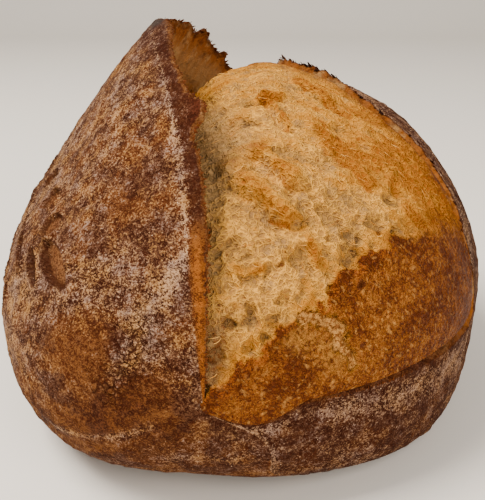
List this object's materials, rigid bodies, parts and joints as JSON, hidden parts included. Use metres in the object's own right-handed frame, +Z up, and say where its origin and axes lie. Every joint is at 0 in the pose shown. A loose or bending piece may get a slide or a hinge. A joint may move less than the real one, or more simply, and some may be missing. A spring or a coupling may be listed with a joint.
{
  "type": "sourdough loaf",
  "caption": "Round wholemeal sourdough loaf, dark floured crust with a leaf cut, torn open along one long score with a tall ear and pale burst crumb.",
  "frame": {"origin": "middle of the loaf's bounding box on the surface that it rests on", "axes": "+Z up; +Y along the score, from its front end to its back end; +X to the right, towards the burst crumb"},
  "size_m": [0.18, 0.207, 0.1336],
  "materials": {
    "baked_crust": "matt baked crust, flour-dusted, with open cream crumb along the score"
  },
  "bodies": {
    "root": {"sourdough_loaf": "baked_crust"}
  },
  "joints": []
}
